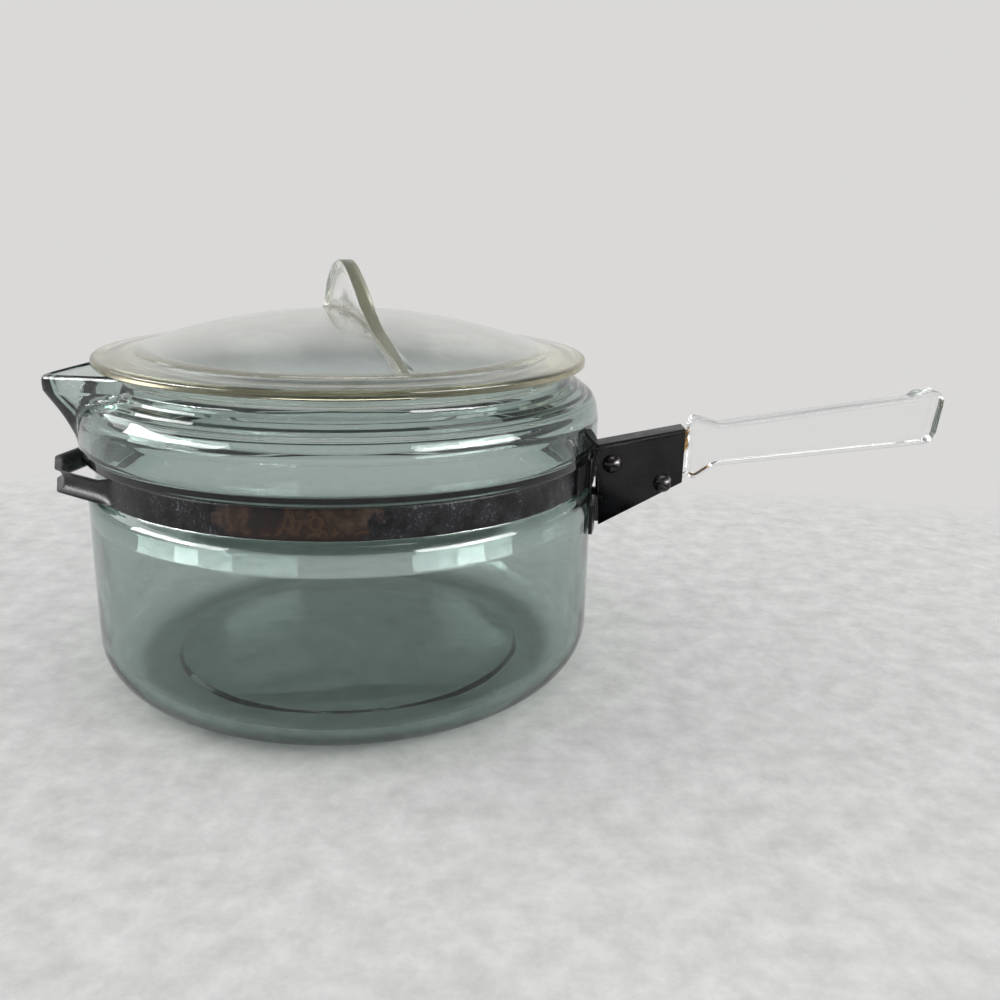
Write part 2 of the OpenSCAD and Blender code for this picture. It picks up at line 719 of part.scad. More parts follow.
// A slotted round-head screw along Y, with its head on the near side. Turn is the direction of its slot.
module screw(at, turn) {
    color(screw_steel)
    translate([at[0], -bracket_w / 2, at[1]]) rotate([90, 0, 0])
    difference() {
        union() {
            rotate_extrude($fn = small_fn) polygon(concat([[0, 0]],
                arc([0, screw_head_h - head_sphere_r], head_sphere_r, 90 - head_half_angle, 90, 8)));
            translate([0, 0, -bracket_w / 2 - screw_end_y])
                cylinder(h = bracket_w / 2 + screw_end_y + screw_head_h / 4, d = screw_d, $fn = small_fn);
        }
        rotate([0, 0, turn]) translate([-screw_head_d, -slot_w / 2, screw_head_h - slot_depth])
            cube([2 * screw_head_d, slot_w, 2 * slot_depth]);
    }
}

module front_screw() { screw(front_screw_at, front_slot_turn); }
module rear_screw() { screw(rear_screw_at, rear_slot_turn); }

module washer(at) {
    color(screw_steel)
    translate([at[0], bracket_w / 2 + washer_t, at[1]]) rotate([90, 0, 0])
    difference() {
        cylinder(h = washer_t, d = nut_w + washer_over, $fn = small_fn);
        translate([0, 0, -over]) cylinder(h = washer_t + 2 * over, d = screw_d + screw_room, $fn = small_fn);
    }
}

module front_washer() { washer(front_screw_at); }
module rear_washer() { washer(rear_screw_at); }

module nut(at) {
    color(screw_steel)
    translate([at[0], nut_y, at[1]]) rotate([90, 0, 0])
    difference() {
        cylinder(h = nut_t, d = nut_w / cos(30), $fn = 6);
        translate([0, 0, -over]) cylinder(h = nut_t + 2 * over, d = screw_d, $fn = small_fn);
    }
}

module front_nut() { nut(front_screw_at); }
module rear_nut() { nut(rear_screw_at); }

pan_body();
lid();
band();
near_strap();
far_strap();
handle_bracket();
handle_liner();
glass_handle();
front_screw();
rear_screw();
front_washer();
rear_washer();
front_nut();
rear_nut();
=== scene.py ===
"""Glass saucepan with a pouring beak, a lift-off lid and a flat glass handle in a steel bracket.

The pan stands on the floor at the origin, +Z up, with the handle along +X. Lengths are in millimetres
until a mesh or a node is made, which is in metres, and directions are in degrees."""

import math

import bmesh
import bpy
import numpy as np
from mathutils import Matrix, Vector


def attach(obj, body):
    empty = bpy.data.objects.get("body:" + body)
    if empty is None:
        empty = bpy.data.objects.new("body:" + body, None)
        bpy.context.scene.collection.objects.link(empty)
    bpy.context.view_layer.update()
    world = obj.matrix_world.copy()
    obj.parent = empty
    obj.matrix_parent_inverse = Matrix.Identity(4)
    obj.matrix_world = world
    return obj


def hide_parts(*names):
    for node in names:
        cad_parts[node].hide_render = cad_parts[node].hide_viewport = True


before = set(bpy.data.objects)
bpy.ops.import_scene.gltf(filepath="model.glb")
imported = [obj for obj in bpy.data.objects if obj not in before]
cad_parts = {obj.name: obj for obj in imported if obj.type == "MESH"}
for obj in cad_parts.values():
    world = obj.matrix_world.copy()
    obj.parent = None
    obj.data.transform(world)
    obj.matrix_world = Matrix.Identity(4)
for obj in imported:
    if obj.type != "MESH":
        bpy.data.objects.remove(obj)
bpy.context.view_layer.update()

scene = bpy.context.scene
MM = 0.001


# Small helpers

def linear(hex_colour):
    """An sRGB hex colour as linear RGBA."""
    parts = [int(hex_colour[i:i + 2], 16) / 255 for i in (1, 3, 5)]
    return [p / 12.92 if p <= 0.04045 else ((p + 0.055) / 1.055) ** 2.4 for p in parts] + [1.0]


def add(tree, kind, sockets=None, stops=(), **settings):
    """Adds a node with its settings. Each of sockets is set to a value, or linked from another node's
    output: where a whole node is given, from the first output that its settings leave in use. Stops are
    the places and hex colours of a colour ramp, in rising order."""
    node = tree.nodes.new(kind)
    for name, value in settings.items():
        setattr(node, name, value)
    for name, value in (sockets or {}).items():
        if isinstance(value, bpy.types.Node):
            value = next(output for output in value.outputs if output.enabled)
        if isinstance(value, bpy.types.NodeSocket):
            tree.links.new(value, node.inputs[name])
        else:
            node.inputs[name].default_value = value
    if stops:
        marks = node.color_ramp.elements
        marks[0].position, marks[0].color = stops[0][0], linear(stops[0][1])
        marks[1].position, marks[1].color = stops[-1][0], linear(stops[-1][1])
        for at, shade in stops[1:-1]:
            marks.new(at).color = linear(shade)
    return node


def smooth_step(low, high, value):
    """0 below low, 1 above high, and an even S between them."""
    share = np.clip((value - low) / (high - low), 0, 1)
    return share * share * (3 - 2 * share)


def smooth_max(a, b, width):
    """The greater of a and b, with the crease between them rounded over this width."""
    near = np.maximum(width - np.abs(a - b), 0) / width
    return np.maximum(a, b) + near * near * width / 4


def turned(x, y, degrees):
    """A point of the plan, turned about the pan's axis."""
    a = math.radians(degrees)
    return x * math.cos(a) - y * math.sin(a), x * math.sin(a) + y * math.cos(a)


def arc(centre, radius, start, end, steps):
    """Points of an arc between two angles in degrees."""
    angles = np.radians(np.linspace(start, end, steps + 1))
    return [(centre[0] + radius * math.cos(a), centre[1] + radius * math.sin(a)) for a in angles]


def rounded(corners, steps=4):
    """A line through corners (x, y, radius), each rounded with an arc that meets its sides."""
    line = []
    for i, (x, y, radius) in enumerate(corners):
        here = np.array([x, y], float)
        if radius <= 0 or i in (0, len(corners) - 1):
            line.append((x, y))
            continue
        before = np.array(corners[i - 1][:2], float) - here
        after = np.array(corners[i + 1][:2], float) - here
        # an arc takes up no more than half of either side, so that its neighbour has room
        room = min(np.linalg.norm(before), np.linalg.norm(after)) * 0.49
        before, after = before / np.linalg.norm(before), after / np.linalg.norm(after)
        half = math.acos(max(-1.0, min(1.0, float(before @ after)))) / 2
        back = min(radius / math.tan(half), room)
        radius = back * math.tan(half)
        middle = here + (before + after) / np.linalg.norm(before + after) * radius / math.sin(half)
        first, last = here + before * back - middle, here + after * back - middle
        turn = math.atan2(first[0] * last[1] - first[1] * last[0], float(first @ last))
        start = math.atan2(first[1], first[0])
        for k in range(steps + 1):
            a = start + turn * k / steps
            line.append((middle[0] + radius * math.cos(a), middle[1] + radius * math.sin(a)))
    return line


def spline(corners, count):
    """A smooth line of this many points that passes through all the corners, evenly spaced along them."""
    corners = np.array(corners)
    steps = np.concatenate([[0], np.cumsum(np.linalg.norm(np.diff(corners, axis=0), axis=1))])
    line = []
    for at in np.linspace(0, steps[-1], count):
        i = min(max(np.searchsorted(steps, at) - 1, 0), len(corners) - 2)
        before, start = corners[max(i - 1, 0)], corners[i]
        end, after = corners[i + 1], corners[min(i + 2, len(corners) - 1)]
        t = (at - steps[i]) / (steps[i + 1] - steps[i])
        line.append(0.5 * (2 * start + (end - before) * t
                           + (2 * before - 5 * start + 4 * end - after) * t * t
                           + (3 * start - before - 3 * end + after) * t ** 3))
    return line


def ring_faces(rows, columns):
    """Quads of a grid of points that closes on itself across its columns."""
    return [(i * columns + j, i * columns + (j + 1) % columns,
             (i + 1) * columns + (j + 1) % columns, (i + 1) * columns + j)
            for i in range(rows - 1) for j in range(columns)]


def pointed_skin(rings, start, end):
    """Points and faces of a closed skin, from a start point over rings of equal length to an end point."""
    rows, columns = len(rings), len(rings[0])
    first, last_row = rows * columns, (rows - 1) * columns
    faces = ring_faces(rows, columns)
    faces += [(first, (j + 1) % columns, j) for j in range(columns)]
    faces += [(first + 1, last_row + j, last_row + (j + 1) % columns) for j in range(columns)]
    return [p for ring in rings for p in ring] + [start, end], faces


def flat_ended_skin(rings):
    """Points and faces of a closed skin over rings of equal length, with one flat face at either end."""
    rows, columns = len(rings), len(rings[0])
    faces = ring_faces(rows, columns)
    faces += [tuple(reversed(range(columns))), tuple(range((rows - 1) * columns, rows * columns))]
    return [p for ring in rings for p in ring], faces


def linked(name, data):
    """An object with this data, placed in the scene."""
    item = bpy.data.objects.new(name, data)
    scene.collection.objects.link(item)
    return item


def mend(mesh, merge=0, level=0):
    """Turns the faces of a closed mesh outwards. Before that, points that lie within merge of each other
    become one, and so do neighbouring faces at less than level degrees to each other."""
    work = bmesh.new()
    work.from_mesh(mesh)
    if merge:
        bmesh.ops.remove_doubles(work, verts=work.verts, dist=merge * MM)
    if level:
        bmesh.ops.dissolve_limit(work, angle_limit=math.radians(level), verts=work.verts, edges=work.edges)
    bmesh.ops.recalc_face_normals(work, faces=work.faces)
    work.to_mesh(mesh)
    work.free()


def closed_shape(name, points, faces, merge=0):
    """An object with a closed mesh through points in millimetres."""
    mesh = bpy.data.meshes.new(name)
    mesh.from_pydata([tuple(float(c) * MM for c in p) for p in points], [], faces)
    mesh.validate()
    mend(mesh, merge)
    return linked(name, mesh)


def settle(piece):
    """Applies the modifiers of a piece."""
    shown = bpy.context.evaluated_depsgraph_get()
    mesh = bpy.data.meshes.new_from_object(piece.evaluated_get(shown))
    piece.modifiers.clear()
    piece.data = mesh


def combine(piece, other, operation):
    """Adds a closed shape to a piece, or cuts it away, and removes that shape."""
    step = piece.modifiers.new(operation.lower(), "BOOLEAN")
    step.operation, step.solver, step.object = operation, "MANIFOLD", other
    settle(piece)
    bpy.data.objects.remove(other)
    piece.data.shade_smooth()


def even_shading(piece, keep_sharp=False):
    """Shades each flat face evenly right up to the narrow rounded edge beside it."""
    even = piece.modifiers.new("even_faces", "WEIGHTED_NORMAL")
    even.weight, even.keep_sharp = 100, keep_sharp


def stand_for(piece, body, node):
    """Lets a piece ride on a body, in place of a CAD node, which is hidden."""
    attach(piece, body)
    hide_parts(node)


def make_piece(name, skin, material, body, node, merge=0, smooth=True):
    """A piece from the points and faces of its closed skin, in place of a CAD node."""
    piece = closed_shape(name, *skin, merge)
    if smooth:
        piece.data.shade_smooth()
    piece.data.materials.append(material)
    stand_for(piece, body, node)
    return piece


# Camera

# its place in metres, how far it looks down and how far it leans in radians, fitted to the pan's circles
CAMERA_PLACE, CAMERA_DOWN, CAMERA_LEAN = (0.0517, -0.3283, 0.1504), 0.283, 0.025
CAMERA_LENS, CAMERA_SENSOR, CAMERA_NEAR = 35.98, 36, 0.01

camera = linked("photo_camera", bpy.data.cameras.new("photo_camera"))
camera.data.sensor_width = CAMERA_SENSOR
camera.data.lens = CAMERA_LENS
camera.data.clip_start = CAMERA_NEAR
camera.matrix_world = (Matrix.Translation(CAMERA_PLACE)
                       @ Matrix.Rotation(math.pi / 2 - CAMERA_DOWN, 4, "X")
                       @ Matrix.Rotation(CAMERA_LEAN, 4, "Z"))
scene.camera = camera


# The lid's measures, which its glass needs as well

LID_R, LID_T = 78.3, 3.4
# heights of the rim's underside over the neck, of the edge's lower side and of its upper side
LID_Z, LID_EDGE_LOW, LID_EDGE_TOP = 103.6, 102.6, 105.2
DOME_TOP, DOME_R, DOME_FOOT, DOME_SPHERE = 118.0, 65.6, 106.7, 196.06
DOME_CENTRE = DOME_TOP - DOME_SPHERE
SKIRT_R, SKIRT_IN, SKIRT_LOW = 69.6, 66.2, 98.0
FIN_AZ, FIN_T, FIN_TIP_T, FIN_TAPER = -67.0, 4.6, 1.2, 26.2


# Materials

GLASS_IOR = 1.474
# the lid's shades by the distance from its axis, with a painted olive glow towards the edge that stands in
# for light that has run through the whole lid and leaves there
LID_EDGE_GLOW_SHADES = ((65.5, "#ffffff"), (68, "#f4f3ee"), (76.3, "#ebe9de"), (77.2, "#a19c7e"), (78.3, "#8a8566"))
# a painted olive glow on the fin's flat rim, for light that leaves the glass there, and the rim's real dull
# roughness from the mould
FIN_RIM_GLOW_SHADE, FIN_RIM_ROUGHNESS = "#a9a88f", 0.3
# places along X: where the band's dust starts beside its nose and is full, and the same for either side of
# the patch that the flame has burnt in front
DUST_FROM, DUST_FULL = -72, -55
BURNT_LEFT, BURNT_RIGHT = (-29, -13), (29, 11)
# the burnt scale turns darker down between these heights, with a noise of up to 4 mm to make that ragged
SCALE_LOW, SCALE_HIGH, SCALE_RAGGED, SCALE_ROUGHNESS = 68.5, 69.5, 4, 0.62
DUST_SHADE, LOW_SCALE_SHADE = "#7d8086", "#190904"
# a Mix node names its two numbers and its two colours alike, so they are told apart by number
A_VALUE, B_VALUE, A_COLOUR, B_COLOUR = 2, 3, 6, 7


def new_material(name):
    """A material with an empty node tree, and the place on its piece, in metres."""
    material = bpy.data.materials.new(name)
    material.use_nodes = True
    tree = material.node_tree
    tree.nodes.clear()
    return material, tree, add(tree, "ShaderNodeTexCoord").outputs["Object"]


def fin_rim(tree, place, radius):
    """1 on the flat rim of the lid's fin: above the dome, on faces that don't look across the fin."""
    normal = add(tree, "ShaderNodeNewGeometry").outputs["Normal"]
    across = (*turned(0, 1, FIN_AZ), 0)
    facing = add(tree, "ShaderNodeVectorMath", {0: normal, 1: across}, operation="DOT_PRODUCT")
    aside = add(tree, "ShaderNodeMath", {0: facing}, operation="ABSOLUTE")
    along = add(tree, "ShaderNodeMapRange", {"Value": aside, "From Min": 0.6, "From Max": 0.3})
    out = add(tree, "ShaderNodeVectorMath", {0: place, 1: (0, 0, DOME_CENTRE * MM)}, operation="DISTANCE")
    above = add(tree, "ShaderNodeMapRange", {"Value": out, "From Min": (DOME_SPHERE + 0.15) * MM,
                                             "From Max": (DOME_SPHERE + 0.45) * MM})
    inside = add(tree, "ShaderNodeMath", {0: radius, 1: (DOME_R - 1) * MM}, operation="LESS_THAN")
    both = add(tree, "ShaderNodeMath", {0: along, 1: above}, operation="MULTIPLY")
    return add(tree, "ShaderNodeMath", {0: both, 1: inside}, operation="MULTIPLY")


def lid_edge_glow_and_dull_rim(tree, place, roughness):
    """The lid's colour and roughness: a painted olive glow at its edge and on the fin's rim, for light that
    has run through the glass, and the fin's rim dull as the mould left it.
    """
    level = add(tree, "ShaderNodeVectorMath", {0: place, 1: (1, 1, 0)}, operation="MULTIPLY")
    radius = add(tree, "ShaderNodeVectorMath", {0: level}, operation="LENGTH")
    first, last = LID_EDGE_GLOW_SHADES[0][0], LID_EDGE_GLOW_SHADES[-1][0]
    share = add(tree, "ShaderNodeMapRange", {"Value": radius, "From Min": first * MM,
                                             "From Max": last * MM})
    # painted olive glow towards the edge, for light that has run through the lid
    tone = add(tree, "ShaderNodeValToRGB", {"Fac": share},
               [((at - first) / (last - first), shade) for at, shade in LID_EDGE_GLOW_SHADES])
    rim = fin_rim(tree, place, radius)
    # the fin's rim gets the painted olive glow too, and its real dull roughness
    colour = add(tree, "ShaderNodeMix", {"Factor": rim, A_COLOUR: tone, B_COLOUR: linear(FIN_RIM_GLOW_SHADE)},
                 data_type="RGBA")
    dull = add(tree, "ShaderNodeMix", {"Factor": rim, A_VALUE: roughness, B_VALUE: FIN_RIM_ROUGHNESS})
    return colour, dull


def pressed_glass(name, absorbed, density, wave, clean, hazy, tint=None):
    """Moulded glass: clear and glossy, with the slow waves of the mould in its surface, a faint haze of
    use, and a colour that deepens with the thickness that one looks through. Wave is the height of the
    waves, and clean and hazy are the roughness of the cleanest and of the most wiped places."""
    material, tree, place = new_material(name)
    # waves of about 30 mm from the mould, and ripples of about 6 mm from the cooling skin
    swell = add(tree, "ShaderNodeTexNoise", {"Vector": place, "Scale": 33, "Detail": 1.5})
    ripple = add(tree, "ShaderNodeTexNoise", {"Vector": place, "Scale": 170, "Detail": 1})
    height = add(tree, "ShaderNodeMath", {0: ripple, 1: 0.06, 2: swell}, operation="MULTIPLY_ADD")
    bump = add(tree, "ShaderNodeBump", {"Height": height, "Strength": 1, "Distance": wave * MM})
    # wiping marks and lime film, in patches of about 15 mm
    film = add(tree, "ShaderNodeTexNoise", {"Vector": place, "Scale": 65, "Detail": 5, "Roughness": 0.65})
    roughness = add(tree, "ShaderNodeMapRange", {"Value": film, "From Min": 0.45, "From Max": 0.8,
                                                 "To Min": clean, "To Max": hazy})
    colour = linear("#ffffff")
    # a tint paints colour into the glass, such as the lid's painted olive edge glow, and may change its
    # roughness
    if tint:
        colour, roughness = tint(tree, place, roughness)
    shader = add(tree, "ShaderNodeBsdfPrincipled",
                 {"Base Color": colour, "Roughness": roughness, "IOR": GLASS_IOR, "Transmission Weight": 1,
                  "Normal": bump})
    body = add(tree, "ShaderNodeVolumeAbsorption", {"Color": absorbed, "Density": density})
    add(tree, "ShaderNodeOutputMaterial", {"Surface": shader, "Volume": body})
    return material


def dusted(tree, place, colour, mottle, grain):
    """A colour with grey dust on it, in specks gathered into patches, but not on the nose."""
    specks = add(tree, "ShaderNodeMapRange", {"Value": grain, "From Min": 0.55, "From Max": 0.7})
    patches = add(tree, "ShaderNodeMapRange", {"Value": mottle, "From Min": 0.45, "From Max": 0.62,
                                               "To Max": 0.75})
    along = add(tree, "ShaderNodeSeparateXYZ", {"Vector": place}).outputs["X"]
    clear = add(tree, "ShaderNodeMapRange", {"Value": along, "From Min": DUST_FROM * MM,
                                             "From Max": DUST_FULL * MM})
    dust = add(tree, "ShaderNodeMath", {0: specks, 1: patches}, operation="MULTIPLY")
    dust = add(tree, "ShaderNodeMath", {0: dust, 1: clear}, operation="MULTIPLY")
    return add(tree, "ShaderNodeMix", {"Factor": dust, A_COLOUR: colour, B_COLOUR: linear(DUST_SHADE)},
               data_type="RGBA")


def burnt(tree, place, colour, roughness):
    """A colour and roughness with the patch in front where the flame has burnt the enamel away: blotched
    brown scale, darker along the lower edge, with a ragged border of islands some 5 to 15 mm wide."""
    split = add(tree, "ShaderNodeSeparateXYZ", {"Vector": place})
    ragged = add(tree, "ShaderNodeTexNoise", {"Vector": place, "Scale": 110, "Detail": 8, "Roughness": 0.7})
    left, right = (add(tree, "ShaderNodeMapRange", {"Value": split.outputs["X"], "From Min": outer * MM,
                                                    "From Max": inner * MM})
                   for outer, inner in (BURNT_LEFT, BURNT_RIGHT))
    front = add(tree, "ShaderNodeMath", {0: split.outputs["Y"], 1: 0.0}, operation="LESS_THAN")
    inside = add(tree, "ShaderNodeMath", {0: left, 1: right}, operation="MULTIPLY")
    inside = add(tree, "ShaderNodeMath", {0: inside, 1: front}, operation="MULTIPLY")
    cover = add(tree, "ShaderNodeMath", {0: inside, 1: 0.6, 2: ragged}, operation="MULTIPLY_ADD")
    patch = add(tree, "ShaderNodeMapRange", {"Value": cover, "From Min": 0.78, "From Max": 0.86},
                interpolation_type="SMOOTHSTEP")
    # blotches of about 10 mm
    blotch = add(tree, "ShaderNodeTexNoise", {"Vector": place, "Scale": 95, "Detail": 5, "Roughness": 0.5,
                                              "Distortion": 0.15})
    brown = add(tree, "ShaderNodeValToRGB", {"Fac": blotch},
                ((0.36, "#0a0605"), (0.42, "#180b07"), (0.47, "#2a150b"), (0.505, "#3f2c1a"),
                 (0.54, "#22110a"), (0.6, "#352719"), (0.72, "#58483b")))
    height = add(tree, "ShaderNodeMath", {0: ragged, 1: SCALE_RAGGED * MM, 2: split.outputs["Z"]},
                 operation="MULTIPLY_ADD")
    low = add(tree, "ShaderNodeMapRange", {"Value": height, "From Min": SCALE_HIGH * MM,
                                           "From Max": SCALE_LOW * MM})
    scale = add(tree, "ShaderNodeMix", {"Factor": low, A_COLOUR: brown, B_COLOUR: linear(LOW_SCALE_SHADE)},
                data_type="RGBA")
    colour = add(tree, "ShaderNodeMix", {"Factor": patch, A_COLOUR: colour, B_COLOUR: scale},
                 data_type="RGBA")
    rough = add(tree, "ShaderNodeMix", {"Factor": patch, A_VALUE: roughness, B_VALUE: SCALE_ROUGHNESS})
    return colour, rough


def enamelled_steel(name, low, high, specular, worn=False):
    """Black stove enamel on sheet steel: satin, with a fine orange peel. Worn enamel is dusty and burnt."""
    material, tree, place = new_material(name)
    # clouds of about 7 mm, and an orange peel of about 0.8 mm
    mottle = add(tree, "ShaderNodeTexNoise", {"Vector": place, "Scale": 140, "Detail": 6, "Roughness": 0.6})
    grain = add(tree, "ShaderNodeTexNoise", {"Vector": place, "Scale": 1300, "Detail": 3, "Roughness": 0.6})
    colour = add(tree, "ShaderNodeValToRGB", {"Fac": mottle}, ((0.35, low), (0.75, high)))
    roughness = add(tree, "ShaderNodeMapRange", {"Value": mottle, "From Min": 0.3, "From Max": 0.7,
                                                 "To Min": 0.2, "To Max": 0.42})
    if worn:
        colour = dusted(tree, place, colour, mottle, grain)
        colour, roughness = burnt(tree, place, colour, roughness)
    height = add(tree, "ShaderNodeMath", {0: mottle, 1: 0.6, 2: grain}, operation="MULTIPLY_ADD")
    bump = add(tree, "ShaderNodeBump", {"Height": height, "Strength": 0.5, "Distance": 0.12 * MM})
    shader = add(tree, "ShaderNodeBsdfPrincipled", {"Base Color": colour, "Roughness": roughness,
                                                    "Normal": bump, "Specular IOR Level": specular})
    add(tree, "ShaderNodeOutputMaterial", {"Surface": shader})
    return material


def blackened_steel():
    """Blackened carbon steel, turned: dark and half glossy, with bright rubbed spots on its high places."""
    material, tree, place = new_material("blackened_carbon_steel")
    # stains of about 1.5 mm
    stain = add(tree, "ShaderNodeTexNoise", {"Vector": place, "Scale": 700, "Detail": 5, "Roughness": 0.6})
    tone = add(tree, "ShaderNodeValToRGB", {"Fac": stain}, ((0.36, "#171617"), (0.7, "#5b5759")))
    rough = add(tree, "ShaderNodeMapRange", {"Value": stain, "To Min": 0.15, "To Max": 0.4})
    bump = add(tree, "ShaderNodeBump", {"Height": stain, "Strength": 0.4, "Distance": 0.05 * MM})
    shader = add(tree, "ShaderNodeBsdfPrincipled", {"Base Color": tone, "Metallic": 0.85,
                                                    "Roughness": rough, "Normal": bump})
    add(tree, "ShaderNodeOutputMaterial", {"Surface": shader})
    return material


def fibre_paper():
    """Fibre paper gone brittle and yellow-brown with heat: dull and blotched."""
    material, tree, place = new_material("heat_browned_fibre_paper")
    # blotches of about 2.5 mm
    blotch = add(tree, "ShaderNodeTexNoise", {"Vector": place, "Scale": 420, "Detail": 6, "Roughness": 0.65})
    tone = add(tree, "ShaderNodeValToRGB", {"Fac": blotch}, ((0.38, "#3b2715"), (0.5, "#a8763a"),
                                                             (0.68, "#d9b45c")))
    bump = add(tree, "ShaderNodeBump", {"Height": blotch, "Strength": 0.8, "Distance": 0.2 * MM})
    shader = add(tree, "ShaderNodeBsdfPrincipled", {"Base Color": tone, "Roughness": 0.85, "Normal": bump})
    add(tree, "ShaderNodeOutputMaterial", {"Surface": shader})
    return material


# Borosilicate glass tinted grey-green, pressed: darker where one looks along the wall
pan_glass = pressed_glass("tinted_borosilicate_pressed", [0.17, 0.36, 0.31, 1], 148, 0.3, 0.004, 0.03)
# Clear borosilicate with a trace of iron and selenium: olive where one looks into its edge, from its
# absorption and from a painted olive glow at the edge and on the fin's rim
lid_glass = pressed_glass("clear_borosilicate_pressed", [0.62, 0.60, 0.36, 1], 6, 0.1, 0.09, 0.15, lid_edge_glow_and_dull_rim)
# Colourless borosilicate, pressed and fire-polished: almost invisible but for its edges
handle_glass = pressed_glass("white_borosilicate_pressed", [0.55, 0.62, 0.60, 1], 6, 0.15, 0.004, 0.03)
band_enamel = enamelled_steel("black_stove_enamel_rusted", "#101012", "#27282b", 0.22, worn=True)
bracket_enamel = enamelled_steel("black_stove_enamel", "#08080a", "#131418", 0.3)
screw_steel = blackened_steel()
browned_paper = fibre_paper()


# The pan's glass

LOWER_R, UPPER_R, GROOVE_R, NECK_R = 82.3, 83.4, 79.7, 74.0
PAN_H, WALL, RIM_T = 103.4, 3.3, 3.6
LOWER_IN, UPPER_IN, GROOVE_IN, NECK_IN = LOWER_R - WALL, UPPER_R - WALL, GROOVE_R - WALL, NECK_R - RIM_T
GROOVE_LO, GROOVE_HI = 65.0, 75.2
RIM_MID, RIM_Z = NECK_R - RIM_T / 2, PAN_H - RIM_T / 2
# the base: its rounded corner, the hollow under it, the pad on its inside and the floor round that pad.
# An outline's corners are given as radius, height and rounding.
CORNER_R, HOLLOW, PAD_Z, FLOOR_EDGE_Z = 16.0, 0.3, 4.5, 3.8
CORNER_MID = LOWER_R - CORNER_R
UNDERSIDE = [(0, HOLLOW, 0), (30, HOLLOW, 0), (48, HOLLOW, 3), (58, 0.05, 3), (CORNER_MID, 0, 0)]
PAD = [(CORNER_MID, FLOOR_EDGE_Z, 0), (58.6, 3.5, 0.3), (57.3, PAD_Z, 0.4), (50, PAD_Z, 0)]
# the lower wall's rounded upper end: its radius, how far it turns, and its centre below the groove
LIP_R, LIP_TURN, LIP_DROP = 4.5, 62, 4.08
# the shoulder's steps up the outside, the softer curve down its inside, and the inside behind the groove
SHOULDER = [(UPPER_R, 82.2, 0), (83.3, 86.4, 9), (82.7, 90.4, 5), (81.0, 93.6, 2), (79.0, 94.3, 0.5),
            (78.6, 95.3, 0.5), (76.6, 96.2, 0.5), (76.2, 97.2, 0.5), (74.3, 98.0, 0.6), (NECK_R, 100.2, 0)]
SHOULDER_IN = [(NECK_IN, 99.4, 0), (70.7, 97.0, 2), (72.9, 94.4, 2.5), (78.7, 91.2, 2.8),
               (UPPER_IN, 87.2, 6), (UPPER_IN, 80.0, 0)]
GROOVE_TOP_IN = [(UPPER_IN, 79.4, 0), (79.6, 77.3, 2), (76.9, 75.8, 1.5), (GROOVE_IN, 73.5, 0)]
GROOVE_FOOT_IN = [(GROOVE_IN, 69.4, 0), (GROOVE_IN, 65.4, 2.5), (LOWER_IN, 55.4, 5), (LOWER_IN, 47, 0)]

# the beak: its keel leaves the wall at its foot and is full over this rise, and its plan is a blunt V
BEAK_AZ, BEAK_TIP, BEAK_FOOT_Z, BEAK_RISE = 203.0, 92.0, 80.4, 18.2
BEAK_TAN = math.tan(math.radians(46))
KEEL_BLUNT, CHANNEL_BLUNT, CHANNEL_FOOT_BLUNT = 0.018, 0.01, 0.03
CHANNEL_TIP, CHANNEL_FOOT_R, CHANNEL_FOOT_Z, CHANNEL_RISE = 88.4, 80.3, 86.0, 13.5
# how far below either foot the V starts to blend in, and the width of the crease between it and the wall
BEAK_LEAD, BEAK_CREASE = 1.5, 1.6
# the beak's top steps down from the rim over the first millimetres outwards, and slopes on from there
BEAK_STEP, BEAK_STEP_OUT, BEAK_SLOPE = 1.1, 2.6, 0.1
SINK_FROM, SINK_FULL = 86, 101.6


def pan_outline():
    """The wall's section from the middle of the base, up the outside and down the inside, and the share by
    which each point belongs to the inside."""
    lip = arc((LOWER_R - LIP_R, GROOVE_LO - LIP_DROP), LIP_R, 0, LIP_TURN, 8)
    outside = rounded(UNDERSIDE)[:-1]
    outside += arc((CORNER_MID, CORNER_R), CORNER_R, -90, 0, 16)
    outside += [(LOWER_R, z) for z in (22, 30, 38, 46, 54)] + lip
    outside += rounded([(*lip[-1], 0), (GROOVE_R, GROOVE_LO + 0.6, 0.8), (GROOVE_R, GROOVE_HI, 0.5),
                        (UPPER_R, GROOVE_HI, 1.2), (UPPER_R, BEAK_FOOT_Z, 0)])[1:]
    outside += rounded(SHOULDER, 5)
    rim = arc((RIM_MID, RIM_Z), RIM_T / 2, 0, 180, 14)
    inside = rounded(SHOULDER_IN, 6)[1:] + rounded(GROOVE_TOP_IN) + rounded(GROOVE_FOOT_IN, 8)
    inside += [(LOWER_IN, z) for z in (42, 34, 26)]
    inner = CORNER_R - WALL
    inside += arc((CORNER_MID, FLOOR_EDGE_Z + inner), inner, 0, -90, 14)[:-1]
    inside += rounded(PAD) + [(25, PAD_Z), (0, PAD_Z)]
    share = np.concatenate([np.zeros(len(outside)), np.linspace(0, 1, len(rim)), np.ones(len(inside))])
    return np.array(outside + rim + inside), (1 - np.cos(share * math.pi)) / 2


def beak_directions():
    """Directions round the pan in degrees from the beak's, closer together at the beak."""
    half = np.concatenate([np.arange(0, 5, 0.3), np.arange(5, 26, 0.6), np.arange(26, 180, 2)])
    return np.concatenate([half, [180.0], -half[:0:-1]])


def v_radius(tip, blunt, turn):
    """Radius of the beak's V-shaped plan in a direction, from its tip radius and how blunt its point is."""
    side = np.sqrt(np.sin(turn) ** 2 + blunt ** 2) - blunt
    reach = side + BEAK_TAN * np.cos(turn)
    return np.where(np.abs(turn) < 0.8, tip * BEAK_TAN / np.maximum(reach, 0.2), 0)


